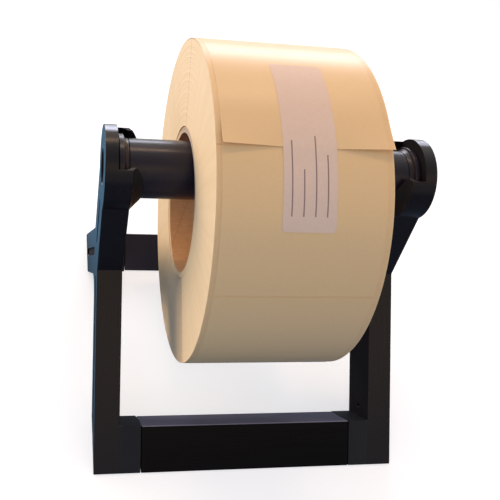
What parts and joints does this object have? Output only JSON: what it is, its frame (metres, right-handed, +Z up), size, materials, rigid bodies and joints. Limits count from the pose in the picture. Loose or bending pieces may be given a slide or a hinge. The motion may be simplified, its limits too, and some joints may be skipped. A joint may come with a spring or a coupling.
{
  "type": "label roll holder",
  "caption": "Desktop label roll holder: inverted-Y side frames joined by crossbars hold a flanged axle in open saddles, and a roll of labels hangs and turns on it.",
  "frame": {"origin": "on the surface that the stand rests on, under the middle of the stand", "axes": "+X along the axle, to the right as seen from the front; -Y to the front, where the labels are pulled; +Z up"},
  "size_m": [0.175, 0.194, 0.2037],
  "materials": {
    "printed_black_plastic": "matte, fine layer lines",
    "gloss_black_plastic": "glossy",
    "satin_black_plastic": "satin",
    "brown_core_board": "matte",
    "cream_label_paper": "smooth, slight sheen",
    "pale_sticker_paper": "matte"
  },
  "bodies": {
    "stand": {"left_side_frame": "printed_black_plastic", "right_side_frame": "printed_black_plastic", "front_crossbar": "gloss_black_plastic", "rear_crossbar": "gloss_black_plastic"},
    "axle_caps": {"left_axle_cap": "satin_black_plastic", "right_axle_cap": "satin_black_plastic"},
    "axle": {"axle_tube": "satin_black_plastic"},
    "roll": {"roll_core": "brown_core_board", "label_roll": "cream_label_paper", "roll_sticker": "pale_sticker_paper"}
  },
  "joints": [
    {"name": "axle_lift", "type": "slide", "parent": "stand", "child": "axle_caps", "axis": [0, 0, 1], "range_m": [0, 0.035]},
    {"name": "tube_spin", "type": "hinge", "parent": "axle_caps", "child": "axle", "pos_m": [0, 0, 0.1385], "axis": [1, 0, 0], "continuous": true},
    {"name": "roll_spin", "type": "hinge", "parent": "axle_caps", "child": "roll", "pos_m": [-0.0025, 0, 0.1162], "axis": [1, 0, 0], "continuous": true}
  ]
}
